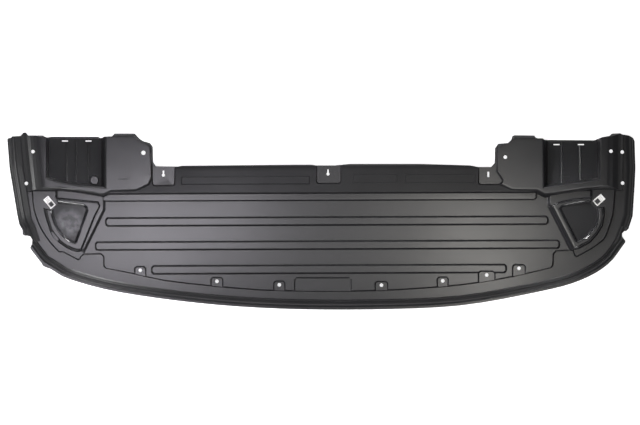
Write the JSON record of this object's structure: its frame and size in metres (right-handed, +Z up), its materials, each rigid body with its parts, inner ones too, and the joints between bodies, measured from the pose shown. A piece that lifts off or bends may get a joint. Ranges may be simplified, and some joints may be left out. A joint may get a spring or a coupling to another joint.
{
  "type": "bumper air deflector",
  "caption": "Wide moulded plastic sheet that closes the underside of a car's front bumper, with ribs, duct scoops, a turned-down lip and clip holes.",
  "frame": {"origin": "middle of the part in plan, on the surface that it lies on", "axes": "+X across the car from the left wing to the right wing as seen from above, -Y towards the curved front lip, +Z up"},
  "size_m": [1.6, 0.4512, 0.0552],
  "materials": {
    "moulded_plastic": "moulded, satin black",
    "label_paper": "printed paper, matt white"
  },
  "bodies": {
    "root": {"deflector_panel": "moulded_plastic", "label_left": "label_paper", "label_right": "label_paper"}
  },
  "joints": []
}
